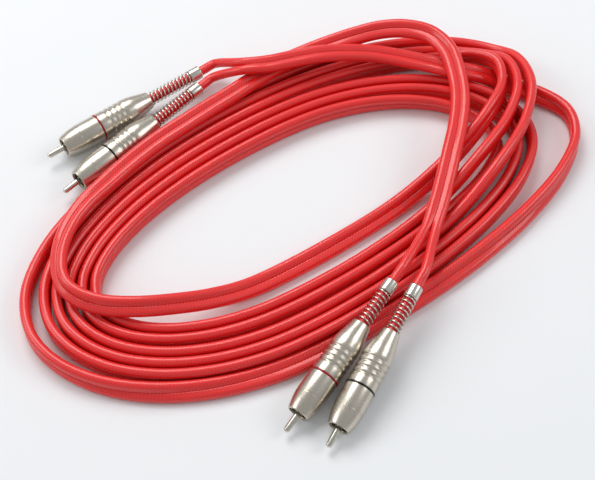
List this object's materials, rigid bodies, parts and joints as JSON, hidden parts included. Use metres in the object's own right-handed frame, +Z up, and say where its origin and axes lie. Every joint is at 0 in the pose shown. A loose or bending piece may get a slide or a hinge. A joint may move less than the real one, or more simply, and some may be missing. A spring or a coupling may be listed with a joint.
{
  "type": "stereo phono instrument cable",
  "caption": "Coiled stereo phono cable: red twin cord in loose oval loops, metal plugs with grooved screw-on barrels, strain springs and end ferrules.",
  "frame": {"origin": "on the plane the cable lies on, under the middle of the box round the four plugs", "axes": "+Z up, square to the loops; +Y away from the front pair of plugs; +X to the right, with the four pins pointing towards -X and -Y"},
  "size_m": [0.2943, 0.2592, 0.0269],
  "materials": {
    "jacket": "glossy, slightly see-through red",
    "satin_nickel": "satin nickel plate",
    "bright_nickel": "bright nickel plate",
    "pin_nickel": "polished nickel plate",
    "contact_nickel": "nickel-plated spring brass",
    "spring_steel": "nickel-plated steel wire",
    "bush_plastic": "moulded, satin",
    "inner_insulation": "extruded, satin",
    "red_ring": "gloss",
    "black_ring": "gloss"
  },
  "bodies": {
    "cord_and_fronts": {"red_strand": "jacket", "black_strand": "jacket", "front_red_centre_pin": "pin_nickel", "front_red_insulator": "bush_plastic", "front_red_ground_sleeve": "contact_nickel", "front_red_nose": "satin_nickel", "front_red_core": "inner_insulation", "front_black_centre_pin": "pin_nickel", "front_black_insulator": "bush_plastic", "front_black_ground_sleeve": "contact_nickel", "front_black_nose": "satin_nickel", "front_black_core": "inner_insulation", "rear_red_centre_pin": "pin_nickel", "rear_red_insulator": "bush_plastic", "rear_red_ground_sleeve": "contact_nickel", "rear_red_nose": "satin_nickel", "rear_red_core": "inner_insulation", "rear_black_centre_pin": "pin_nickel", "rear_black_insulator": "bush_plastic", "rear_black_ground_sleeve": "contact_nickel", "rear_black_nose": "satin_nickel", "rear_black_core": "inner_insulation"},
    "front_red_ring_slide": {"front_red_colour_ring": "red_ring"},
    "front_red_rear_shell": {"front_red_barrel": "satin_nickel", "front_red_strain_spring": "spring_steel", "front_red_ferrule": "bright_nickel"},
    "front_black_ring_slide": {"front_black_colour_ring": "black_ring"},
    "front_black_rear_shell": {"front_black_barrel": "satin_nickel", "front_black_strain_spring": "spring_steel", "front_black_ferrule": "bright_nickel"},
    "rear_red_ring_slide": {"rear_red_colour_ring": "red_ring"},
    "rear_red_rear_shell": {"rear_red_barrel": "satin_nickel", "rear_red_strain_spring": "spring_steel", "rear_red_ferrule": "bright_nickel"},
    "rear_black_ring_slide": {"rear_black_colour_ring": "black_ring"},
    "rear_black_rear_shell": {"rear_black_barrel": "satin_nickel", "rear_black_strain_spring": "spring_steel", "rear_black_ferrule": "bright_nickel"}
  },
  "joints": [
    {"name": "front_red_draw", "type": "slide", "parent": "cord_and_fronts", "child": "front_red_ring_slide", "axis": [0.5673, 0.8102, 0.1478], "range_m": [0, 0.0045]},
    {"name": "front_red_unscrew", "type": "hinge", "parent": "front_red_ring_slide", "child": "front_red_rear_shell", "pos_m": [0.05611, -0.07443, 0.01097], "axis": [0.5673, 0.8102, 0.1478], "range_deg": [0, 2160]},
    {"name": "front_black_draw", "type": "slide", "parent": "cord_and_fronts", "child": "front_black_ring_slide", "axis": [0.4795, 0.865, 0.1478], "range_m": [0, 0.0045]},
    {"name": "front_black_unscrew", "type": "hinge", "parent": "front_black_ring_slide", "child": "front_black_rear_shell", "pos_m": [0.07223, -0.08013, 0.01097], "axis": [0.4795, 0.865, 0.1478], "range_deg": [0, 2160]},
    {"name": "rear_red_draw", "type": "slide", "parent": "cord_and_fronts", "child": "rear_red_ring_slide", "axis": [0.8036, 0.5946, 0.0262], "range_m": [0, 0.0045]},
    {"name": "rear_red_unscrew", "type": "hinge", "parent": "rear_red_ring_slide", "child": "rear_red_rear_shell", "pos_m": [-0.06314, 0.08, 0.00819], "axis": [0.8036, 0.5946, 0.0262], "range_deg": [0, 2160]},
    {"name": "rear_black_draw", "type": "slide", "parent": "cord_and_fronts", "child": "rear_black_ring_slide", "axis": [0.6944, 0.7191, 0.0262], "range_m": [0, 0.0045]},
    {"name": "rear_black_unscrew", "type": "hinge", "parent": "rear_black_ring_slide", "child": "rear_black_rear_shell", "pos_m": [-0.05672, 0.06109, 0.00819], "axis": [0.6944, 0.7191, 0.0262], "range_deg": [0, 2160]}
  ],
  "couplings": [
    {"joint": "front_red_unscrew", "follows": "front_red_draw", "rad_per_m": 8377.6},
    {"joint": "front_black_unscrew", "follows": "front_black_draw", "rad_per_m": 8377.6},
    {"joint": "rear_red_unscrew", "follows": "rear_red_draw", "rad_per_m": 8377.6},
    {"joint": "rear_black_unscrew", "follows": "rear_black_draw", "rad_per_m": 8377.6}
  ]
}
